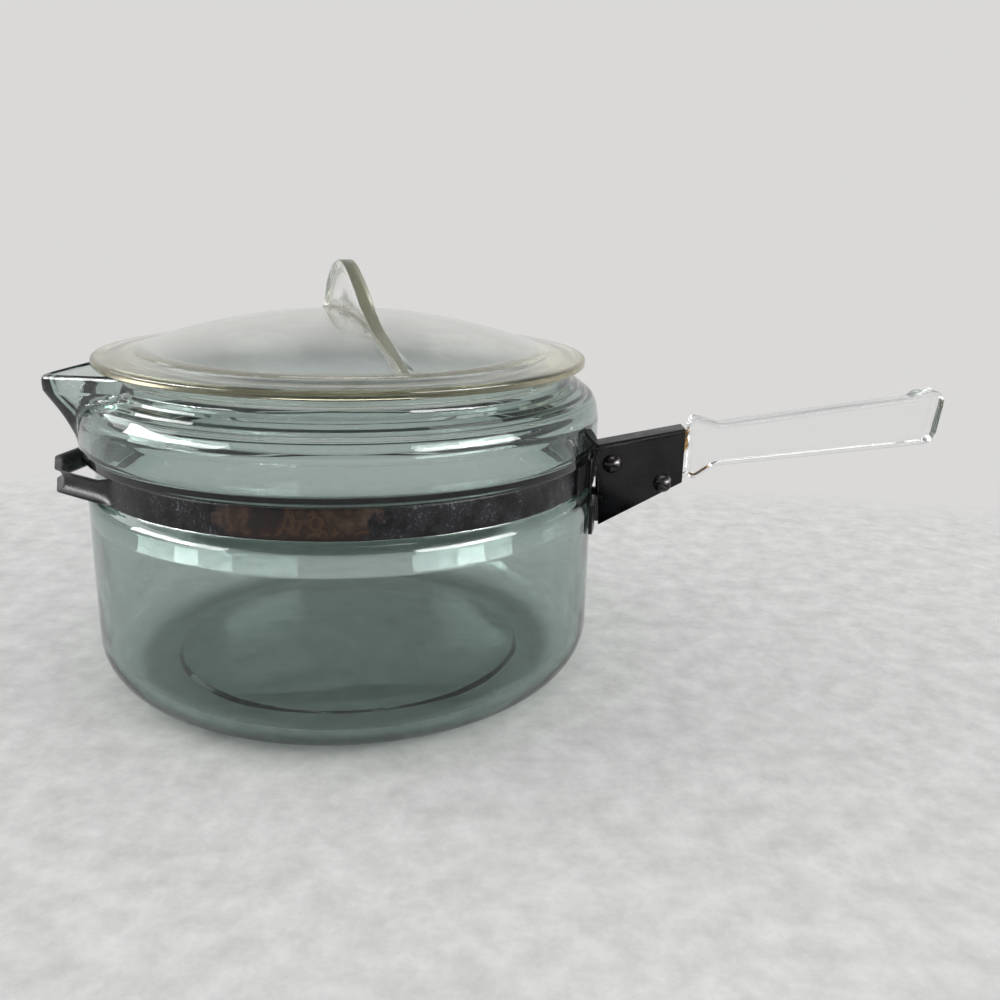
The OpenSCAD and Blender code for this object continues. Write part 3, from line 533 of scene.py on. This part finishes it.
def pan_body():
    """The pan: its section turned round, and drawn out to the beak's V wherever that reaches further."""
    line, inner = pan_outline()
    turns = np.radians(beak_directions())[None, :]
    radius, z, inner = line[:, :1], line[:, 1:], inner[:, None]
    keel = np.minimum(BEAK_TIP, UPPER_R + (BEAK_TIP - UPPER_R) * (z - BEAK_FOOT_Z) / BEAK_RISE)
    rise = (z - CHANNEL_FOOT_Z) / CHANNEL_RISE
    channel = np.minimum(CHANNEL_TIP, CHANNEL_FOOT_R + (CHANNEL_TIP - CHANNEL_FOOT_R) * rise)
    tip = keel + (channel - keel) * inner
    blunt = KEEL_BLUNT + inner * (CHANNEL_BLUNT + CHANNEL_FOOT_BLUNT * np.clip(1 - rise, 0, 1))
    in_beak = z > np.where(inner > 0.5, CHANNEL_FOOT_Z, BEAK_FOOT_Z) - BEAK_LEAD
    bent = np.where(in_beak, smooth_max(radius, v_radius(tip, blunt, turns), BEAK_CREASE), radius)
    # the whole wall sinks with the rim at each direction, so that its steps don't fold over each other
    crest = int(np.argmax(z))
    out = np.maximum(bent[crest] - radius[crest], 0)[None, :]
    sunk = BEAK_STEP * smooth_step(0, BEAK_STEP_OUT, out) + BEAK_SLOPE * out
    height = z - smooth_step(SINK_FROM, SINK_FULL, z) * sunk
    azimuth = turns + math.radians(BEAK_AZ)
    points = np.stack([bent * np.cos(azimuth), bent * np.sin(azimuth), height], -1).tolist()
    skin = pointed_skin(points[1:-1], (0, 0, line[0, 1]), (0, 0, line[-1, 1]))
    make_piece("pan_glass", skin, pan_glass, "pan", "pan_body")


pan_body()


# The lid

# the small step at the dome's foot, how the edge is rounded off, and the fillet inside the centring ring
STEP_IN, STEP_OUT, STEP_DROP, EDGE_IN, EDGE_DROP, SKIRT_FILLET = 1.6, 0.4, 0.45, 1.4, 0.3, 3
# the room round the neck inside the edge that hangs over it, at its top and at its foot
NECK_ROOM, NECK_ROOM_LOW = 1.2, 1.9
# the fin's upper outline, from its heel over its top to the end of its tail: distance along it and height
FIN_UPPER = [(-20.6, 112.5), (-20.7, 115), (-20.4, 118), (-18.8, 122), (-15.5, 126.3), (-10.5, 130.2),
             (-5, 132.8), (0, 133.8), (4, 133.6), (9, 132.1), (15.5, 128.9), (22.5, 124.6), (28.5, 120.6),
             (37.5, 116.0), (46, 113.3), (54, 111.1), (60, 109.3), (64.2, 107.6)]
FIN_FOOT_FROM, FIN_FOOT_TO = 63.5, -20.0
# the point that its rings of points close in on, and the share of the way to it that the inmost ones keep
FIN_HUB, FIN_HUB_SHARE = (3.0, 117.0), 0.06
# the rounding of its edge, its dish and how much of that the tail loses, and how it spreads at its foot
FIN_EDGE_R, FIN_DISH, FIN_TAIL_LOSS, FIN_SPREAD = 0.45, 0.9, 0.7, 0.7


def dome_height(r):
    """Height of the dome's upper side at a distance from the axis."""
    return DOME_CENTRE + np.sqrt(DOME_SPHERE ** 2 - r * r)


def lid_outline():
    """The lid's section: out over the dome, round the edge, down the centring ring and back under the
    dome."""
    top = [(r, dome_height(r)) for r in np.linspace(0, DOME_R - STEP_IN, 26)]
    under = [(r, dome_height(r) - LID_T) for r in np.linspace(SKIRT_IN - SKIRT_FILLET, 0, 26)]
    rim = rounded([(*top[-1], 0), (DOME_R, DOME_FOOT, 0.3), (DOME_R + STEP_OUT, DOME_FOOT - STEP_DROP, 0.3),
                   (LID_R - EDGE_IN, LID_EDGE_TOP, 5), (LID_R, LID_EDGE_TOP - EDGE_DROP, 0.9),
                   (LID_R, LID_EDGE_LOW, 0.7), (NECK_R + NECK_ROOM_LOW, LID_EDGE_LOW, 0.5),
                   (NECK_R + NECK_ROOM, LID_Z, 0.4), (SKIRT_R, LID_Z, 0.5), (SKIRT_R, SKIRT_LOW, 1.5),
                   (SKIRT_IN, SKIRT_LOW, 1.5), (SKIRT_IN, under[0][1] + 0.2, 2.5), (*under[0], 0)], 6)
    return top + rim[1:-1] + under


def fin_outline():
    """The fin's outline in its own plane. Its foot lies in the middle of the dome's thickness."""
    foot = [(s, dome_height(s) - LID_T / 2) for s in np.linspace(FIN_FOOT_FROM, FIN_FOOT_TO, 30)]
    return np.array(spline(FIN_UPPER, 90) + foot)


def fin_rings():
    """The rings of points from the fin's edge inwards: how far each is set in, what the edge's rounding
    adds to the half thickness there, and the share of the full dish."""
    rings = [(FIN_EDGE_R * (1 - math.cos(a)), FIN_EDGE_R * (math.sin(a) - 1), 0)
             for a in np.radians(np.linspace(0, 90, 5))]
    rings += [(inset, 0, 0) for inset in (0.8, 1.2)]
    rings += [(1.3 + 2.6 * t, 0, smooth_step(0, 1, t)) for t in np.linspace(0.08, 1, 8)]
    return rings + [(inset, 0, 1) for inset in (5, 8, 12, 18, 26, 36, 48)]


def fin_side(outline, side):
    """One side of the fin, ring by ring, with its hub last: distance along it, across it, and height."""
    hub = np.array(FIN_HUB)
    points = []
    for inset, rounding, dished in fin_rings():
        for corner in outline:
            run = np.linalg.norm(corner - hub)
            along, z = hub + (corner - hub) * max(1 - inset / run, FIN_HUB_SHARE)
            # nothing of the fin comes through the dome's underside
            z = max(z, dome_height(along) - LID_T / 2)
            slim = min(max((along - FIN_TAPER) / (DOME_R - FIN_TAPER), 0), 1)
            half = (FIN_T + (FIN_TIP_T - FIN_T) * slim) / 2 + rounding
            dish = FIN_DISH * dished * (1 - FIN_TAIL_LOSS * slim)
            spread = FIN_SPREAD * math.exp(-max(z - dome_height(along), 0) / FIN_SPREAD)
            points.append((along, side * (half - dish + spread), z))
    return points + [(hub[0], side * (FIN_T / 2 - FIN_DISH), hub[1])]


def fin_skin():
    """Points and faces of the fin: a blade with a flat rim, dished on both sides, that spreads at its
    foot."""
    outline = fin_outline()
    front, rear = fin_side(outline, 1), fin_side(outline, -1)
    back, columns = len(front), len(outline)
    rows = (back - 1) // columns
    faces = []
    for base in (0, back):
        faces += [tuple(base + i for i in quad) for quad in ring_faces(rows, columns)]
        inmost, hub = base + (rows - 1) * columns, base + rows * columns
        faces += [(inmost + j, inmost + (j + 1) % columns, hub) for j in range(columns)]
    faces += [(j, (j + 1) % columns, back + (j + 1) % columns, back + j) for j in range(columns)]
    return [(*turned(along, across, FIN_AZ), z) for along, across, z in front + rear], faces


def lid():
    """The lid: its section turned round, with the fin moulded on."""
    line = lid_outline()
    turns = np.linspace(0, 2 * math.pi, 180, endpoint=False)
    rings = [[(r * math.cos(a), r * math.sin(a), z) for a in turns] for r, z in line[1:-1]]
    skin = pointed_skin(rings, (0, 0, line[0][1]), (0, 0, line[-1][1]))
    piece = make_piece("lid_glass", skin, lid_glass, "lid", "lid")
    combine(piece, closed_shape("fin", *fin_skin()), "UNION")


lid()


# The band

BAND_R, BAND_Z, BAND_H, BAND_T, BAND_EDGE = 79.75, 70.1, 9.0, 0.8, 0.3
# the strip's two ends lie this many degrees to either side of the handle
BAND_END = 9
# the nose as if it pointed along +X: its root's direction, its front, and how it is flared and narrowed
NOSE_ROOT, NOSE_TIP, NOSE_HALF_W, NOSE_FLARE, NOSE_NARROW = 20.0, 87.75, 8.0, 2.2, 0.24
NOSE_AZ = BEAK_AZ - 360


def nose_half():
    """One half of the nose's line in plan from its root in the groove, with the share of its full flare."""
    root = np.array(turned(BAND_R, 0, NOSE_ROOT))
    front = rounded([(*root, 0), (NOSE_TIP, NOSE_HALF_W, 3.5), (NOSE_TIP, 0, 0)], 8)
    flank = [root + (np.array(front[1]) - root) * t for t in np.linspace(0.06, 0.94, 9)]
    return [(x, y, smooth_step(-1, 5, math.dist((x, y), root)))
            for x, y in [root, *flank, *front[1:-1], (NOSE_TIP, 2.0)]]


def band_path():
    """The band's line in plan from one end to the other, with how much its edges flare at each point."""
    def groove(start, end):
        steps = int(abs(end - start) / 2) + 1
        return [(x, y, 0) for x, y in arc((0, 0), BAND_R, start, end, steps)]

    half = nose_half()
    nose = half + [(NOSE_TIP, 0, 1)] + [(x, -y, flare) for x, y, flare in reversed(half)]
    placed = [(*turned(x, y, NOSE_AZ), flare) for x, y, flare in nose]
    return np.array(groove(-BAND_END, NOSE_AZ + NOSE_ROOT + 1) + placed
                    + groove(NOSE_AZ - NOSE_ROOT - 1, BAND_END - 360))


def band():
    """The strip: one section with rounded edges, set across its line at every point."""
    path = band_path()
    ahead, behind = np.roll(path[:, :2], -1, 0), np.roll(path[:, :2], 1, 0)
    ahead[-1], behind[0] = path[-1, :2], path[0, :2]
    along = ahead - behind
    across = np.stack([-along[:, 1], along[:, 0]], 1) / np.linalg.norm(along, axis=1)[:, None]
    # shares of the half height, and how far the edge's rounding sets each one back
    heights = np.concatenate([[-1, -0.995, -0.96], np.linspace(-0.85, 0.85, 9), [0.96, 0.995, 1]])
    backs = [BAND_EDGE, BAND_EDGE / 3, 0] + [0] * 9 + [0, BAND_EDGE / 3, BAND_EDGE]
    section = [(t, BAND_T - back) for t, back in zip(heights, backs)]
    section += list(zip(heights[::-1], backs[::-1]))
    rings = []
    for (x, y, flare), side in zip(path, across):
        ring = []
        for t, out in section:
            bent = flare * abs(t) ** 2.2
            off = out + NOSE_FLARE * bent
            ring.append((x + side[0] * off, y + side[1] * off,
                         BAND_Z + BAND_H / 2 * t * (1 - NOSE_NARROW * bent)))
        rings.append(ring)
    make_piece("band_strip", flat_ended_skin(rings), band_enamel, "pan", "band")


band()


# The pressed and turned steel pieces

# how wide the broken edges are
SHEET_EDGE, HEAD_EDGE, WASHER_EDGE, NUT_EDGE = 0.3, 0.15, 0.12, 0.3


def dressed(node, material, edge):
    """A CAD node's shape with its flat faces made whole and its edges broken, as pressing leaves them."""
    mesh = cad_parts[node].data.copy()
    mend(mesh, merge=0.002, level=0.5)
    mesh.shade_smooth()
    mesh.materials.clear()
    mesh.materials.append(material)
    piece = linked(node + "_made", mesh)
    broken = piece.modifiers.new("broken_edges", "BEVEL")
    broken.width, broken.segments = edge * MM, 3
    broken.limit_method, broken.angle_limit = "ANGLE", math.radians(35)
    even_shading(piece)
    settle(piece)
    stand_for(piece, "pan", node)


for node in ("handle_bracket", "near_strap", "far_strap"):
    dressed(node, bracket_enamel, SHEET_EDGE)
for kind, edge in (("screw", HEAD_EDGE), ("washer", WASHER_EDGE), ("nut", NUT_EDGE)):
    for place in ("front", "rear"):
        dressed(place + "_" + kind, screw_steel, edge)


# The handle and its liner

# the bracket's upper and lower edge: where each starts, and where it ends at the bracket's outer end
BRACKET_END, TOP_X, TOP_Z, TOP_END_Z, LOW_X, LOW_Z, LOW_END_Z = 112.2, 83.8, 76.1, 82.2, 85.0, 48.9, 64.4
REAR_SCREW_X, REAR_SCREW_Z, NOTCH_R, NOTCH_DEPTH, NOTCH_HALF = 105.8, 64.0, 2.4, 14, 7
GRIP_T, GRIP_EDGE_R, ROOT_T, ROOT_EDGE_R = 10.0, 2.1, 8.1, 0.4
# the root in the bracket: its two ends, and its room under the bracket's top and over its lower edge
ROOT_X, ROOT_END, ROOT_DROP, ROOT_LIFT = 95.0, 116, 2.1, 0.6
# the grip's side, anticlockwise from the middle of its lower edge: lip, upper edge, flared root, lower edge
GRIP_SIDE = [(160, 74.6, 0), (195.2, 79.3, 5), (197.55, 97.3, 4), (188.2, 95.84, 2.4), (186.4, 94.3, 2.4),
             (123.9, 83.95, 12), (114.1, 86.4, 2.4), (114.1, 62.9, 2.3), (123.7, 69.75, 5), (160, 74.6, 0)]
# the liner, its room under the bracket's top and over its lower edge, and how far out it reaches: it is
# whole as far as the sound part, from there its lines of points are torn, and lower down more is lost
LINER_X, LINER_HALF, LINER_T, LINER_DROP, LINER_LIFT = 95.4, 4.8, 0.7, 1.25, 1
LINER_SOUND, LINER_TORN, LINER_END, LINER_REACH, LINER_LOST = 109.5, 110.4, 113.8, 113.35, 1.6


def bracket_top(x):
    """Height of the bracket's upper edge."""
    return TOP_Z + (x - TOP_X) * (TOP_END_Z - TOP_Z) / (BRACKET_END - TOP_X)


def bracket_low(x):
    """Height of the bracket's lower edge."""
    return LOW_Z + (x - LOW_X) * (LOW_END_Z - LOW_Z) / (BRACKET_END - LOW_X)


def set_back(line, inset):
    """A closed line moved inwards along its own normals. It runs anticlockwise."""
    along = np.roll(line, -1, 0) - np.roll(line, 1, 0)
    inward = np.stack([-along[:, 1], along[:, 0]], 1)
    return line + inward / np.linalg.norm(inward, axis=1)[:, None] * inset


def rounded_slab(line, thickness, radius, steps=6):
    """Points and faces of an upright slab with this side outline (x, z), its two rims rounded."""
    rings = []
    for side, angles in ((-1, range(steps, -1, -1)), (1, range(steps + 1))):
        for k in angles:
            a = math.radians(90 * k / steps)
            y = side * (thickness / 2 - radius + radius * math.sin(a))
            edge = set_back(np.array(line), radius * (1 - math.cos(a)))
            rings.append([(x, y, z) for x, z in edge])
    return flat_ended_skin(rings)


def handle_root():
    """The root that the bracket holds, as tall as the bracket leaves it."""
    side = [(ROOT_X, 60, 0), (ROOT_X, bracket_low(ROOT_X) + ROOT_LIFT, 1),
            (ROOT_END, bracket_low(ROOT_END) + ROOT_LIFT, 1),
            (ROOT_END, bracket_top(ROOT_END) - ROOT_DROP, 1),
            (ROOT_X, bracket_top(ROOT_X) - ROOT_DROP, 1), (ROOT_X, 60, 0)]
    return closed_shape("root", *rounded_slab(rounded(side)[:-1], ROOT_T, ROOT_EDGE_R, 3))


def screw_notch():
    """The room that the rear screw needs in the root, open at its lower edge."""
    foot = REAR_SCREW_Z - NOTCH_DEPTH
    side = arc((REAR_SCREW_X, REAR_SCREW_Z), NOTCH_R, 0, 180, 12)
    side += [(REAR_SCREW_X - NOTCH_R, foot), (REAR_SCREW_X + NOTCH_R, foot)]
    ends = [[(x, y, z) for x, z in side] for y in (-NOTCH_HALF, NOTCH_HALF)]
    return closed_shape("notch", *flat_ended_skin(ends))


def glass_handle():
    """The flat glass bar. Its outer corners are rounder than its rims, so that these can be set back."""
    skin = rounded_slab(rounded(GRIP_SIDE, 6)[:-1], GRIP_T, GRIP_EDGE_R)
    piece = make_piece("glass_handle_made", skin, handle_glass, "pan", "glass_handle")
    combine(piece, handle_root(), "UNION")
    combine(piece, screw_notch(), "DIFFERENCE")
    piece.data.set_sharp_from_angle(angle=math.radians(40))
    even_shading(piece, keep_sharp=True)
    settle(piece)


def torn_reach(i, share):
    """How far out the liner reaches on its i-th line, at this share of the way down. Its outer edge has
    broken off unevenly, and hangs on longest near the fold."""
    torn = math.sin(i * 1.9) * 0.25 + math.sin(i * 0.73 + 1) * 0.3 + math.sin(i * 4.1) * 0.15
    return LINER_REACH - LINER_LOST * smooth_step(0.3, 0.55, share) + torn * 0.6


def handle_liner():
    """The folded fibre paper between steel and glass: lines along X, from one leg's foot over the fold to
    the other's, each with its place across and its share of the way down."""
    legs = np.linspace(1, 0, 26)
    fold = np.linspace(0.35 - LINER_HALF, LINER_HALF - 0.35, 9)[1:-1]
    lines = [(-1, share) for share in legs] + [(y / LINER_HALF, 0) for y in fold]
    lines += [(1, share) for share in legs[::-1]]
    stations = [*np.linspace(LINER_X, LINER_SOUND, 8), *np.linspace(LINER_TORN, LINER_END, 12)]
    outer, inner = [], []
    for i, (side, share) in enumerate(lines):
        for x in stations:
            x = min(x, torn_reach(i, share)) if x > LINER_SOUND else x
            high, low = bracket_top(x) - LINER_DROP, bracket_low(x) + LINER_LIFT
            z = high - share * (high - low)
            outer.append((x, side * LINER_HALF, z))
            inner.append((x, side * (LINER_HALF - LINER_T), min(z, high - LINER_T)))
    rows, columns = len(lines), len(stations)
    back = len(outer)
    sheet = [(i * columns + j, i * columns + j + 1, (i + 1) * columns + j + 1, (i + 1) * columns + j)
             for i in range(rows - 1) for j in range(columns - 1)]
    faces = sheet + [tuple(back + k for k in reversed(quad)) for quad in sheet]
    border = [(i, 0) for i in range(rows)]
    border += [(rows - 1, j) for j in range(1, columns)]
    border += [(i, columns - 1) for i in range(rows - 2, -1, -1)]
    border += [(0, j) for j in range(columns - 2, 0, -1)]
    rim = [i * columns + j for i, j in border]
    faces += [(a, b, back + b, back + a) for a, b in zip(rim, rim[1:] + rim[:1])]
    make_piece("handle_liner_made", (outer + inner, faces), browned_paper, "pan",
               "handle_liner", merge=0.001, smooth=False)


glass_handle()
handle_liner()


# Floor, world and lamps

WALL_COLOUR, CEILING_COLOUR, ROOM_LIGHT = "#dad9d8", "#7d7e82", "#dfe0e4"
# the floor's half side in metres, and how many millimetres it lies below the pan's foot
FLOOR_HALF, FLOOR_DROP = 12.0, 0.1
# where the floor fades to the wall, in metres: the point in front of the pan, and the distances from it
FADE_AHEAD, FADE_FROM, FADE_FULL = 0.12, 0.305, 0.37
# the point that the lamps look at, in metres
AIM = Vector((0.03, 0, 0.05))


def seen_rays(tree):
    """1 for the rays that show a background: those of the camera, of mirrors and through glass."""
    path = add(tree, "ShaderNodeLightPath")
    both = add(tree, "ShaderNodeMath", {0: path.outputs["Is Camera Ray"], 1: path.outputs["Is Glossy Ray"]},
               operation="MAXIMUM")
    return add(tree, "ShaderNodeMath", {0: both, 1: path.outputs["Is Transmission Ray"]},
               operation="MAXIMUM")


def floor():
    """A pale plain floor. Away from the pan it fades to the wall's colour, as a swept backdrop does."""
    material, tree, place = new_material("pale_plush_floor")
    # tufts in clouds of about 10 mm
    tuft = add(tree, "ShaderNodeTexNoise", {"Vector": place, "Scale": 95, "Detail": 6, "Roughness": 0.7})
    tone = add(tree, "ShaderNodeValToRGB", {"Fac": tuft}, ((0.3, "#d8d7d3"), (0.7, "#f5f4f0")))
    cloth = add(tree, "ShaderNodeBsdfDiffuse", {"Color": tone})
    wall = add(tree, "ShaderNodeEmission", {"Color": linear(WALL_COLOUR), "Strength": 1})
    # distance from a point just in front of the pan, measured in half lengths along X
    spread = add(tree, "ShaderNodeMapping", {"Vector": place, "Location": (0, FADE_AHEAD, 0),
                                             "Scale": (0.5, 1, 1)})
    far = add(tree, "ShaderNodeVectorMath", {0: spread}, operation="LENGTH")
    fade = add(tree, "ShaderNodeMapRange", {"Value": far, "From Min": FADE_FROM, "From Max": FADE_FULL},
               interpolation_type="SMOOTHSTEP")
    shown = add(tree, "ShaderNodeMath", {0: fade, 1: seen_rays(tree)}, operation="MULTIPLY")
    mixed = add(tree, "ShaderNodeMixShader", {0: shown, 1: cloth, 2: wall})
    add(tree, "ShaderNodeOutputMaterial", {"Surface": mixed})
    mesh = bpy.data.meshes.new("floor")
    corners = [(x * FLOOR_HALF, y * FLOOR_HALF, -FLOOR_DROP * MM)
               for x, y in ((-1, -1), (1, -1), (1, 1), (-1, 1))]
    mesh.from_pydata(corners, [], [(0, 1, 2, 3)])
    mesh.materials.append(material)
    linked("floor", mesh)


def room():
    """Room light: pale at the height of the walls and darker overhead."""
    world = bpy.data.worlds.new("pale_room")
    world.use_nodes = True
    tree = world.node_tree
    tree.nodes.clear()
    direction = add(tree, "ShaderNodeTexCoord").outputs["Generated"]
    up = add(tree, "ShaderNodeSeparateXYZ", {"Vector": direction}).outputs["Z"]
    overhead = add(tree, "ShaderNodeMapRange", {"Value": up, "From Min": 0.25, "From Max": 0.8},
                   interpolation_type="SMOOTHSTEP")
    walls = add(tree, "ShaderNodeMix", {"Factor": overhead, A_COLOUR: linear(WALL_COLOUR),
                                        B_COLOUR: linear(CEILING_COLOUR)}, data_type="RGBA")
    shown = add(tree, "ShaderNodeBackground", {"Color": walls, "Strength": 1})
    light = add(tree, "ShaderNodeBackground", {"Color": linear(ROOM_LIGHT), "Strength": 0.9})
    mixed = add(tree, "ShaderNodeMixShader", {0: seen_rays(tree), 1: light, 2: shown})
    add(tree, "ShaderNodeOutputWorld", {"Surface": mixed})
    scene.world = world


def softbox(name, azimuth, elevation, distance, width, height, power, lights=True):
    """A large soft lamp that faces the pan. One that doesn't light is only seen in glass and gloss."""
    lamp = bpy.data.lights.new(name, "AREA")
    lamp.shape, lamp.size, lamp.size_y, lamp.energy = "RECTANGLE", width, height, power
    a, e = math.radians(azimuth), math.radians(elevation)
    away = Vector((math.cos(a) * math.cos(e), math.sin(a) * math.cos(e), math.sin(e)))
    holder = linked(name, lamp)
    holder.visible_camera, holder.visible_diffuse = False, lights
    holder.location = AIM + away * distance
    holder.rotation_mode = "QUATERNION"
    holder.rotation_quaternion = away.to_track_quat("Z", "Y")


floor()
room()
# two windows to the sides of the camera, each with its panes and a patch of sky, in metres and watts
softbox("left_window", 175, 25, 1.1, 0.85, 0.38, 2.8)
softbox("right_window", -30, 25, 1.1, 0.85, 0.38, 2.8)
softbox("left_pane", 202, 17, 1.09, 0.96, 0.34, 14.5, lights=False)
softbox("right_pane", -30, 17, 1.09, 0.96, 0.34, 14.5, lights=False)
softbox("left_sky", 206, 16, 1.08, 0.22, 0.10, 5, lights=False)
softbox("right_sky", -28, 17, 1.08, 0.22, 0.10, 5, lights=False)
# the ceiling, seen only in sharp rims
softbox("ceiling", -90, 78, 1.2, 0.9, 0.22, 3, lights=False)

scene.view_settings.view_transform = "Standard"
# light runs a long way inside the lid and turns olive there, so it is followed through many reflections
scene.cycles.max_bounces = scene.cycles.transmission_bounces = scene.cycles.glossy_bounces = 40
scene.cycles.diffuse_bounces = 4
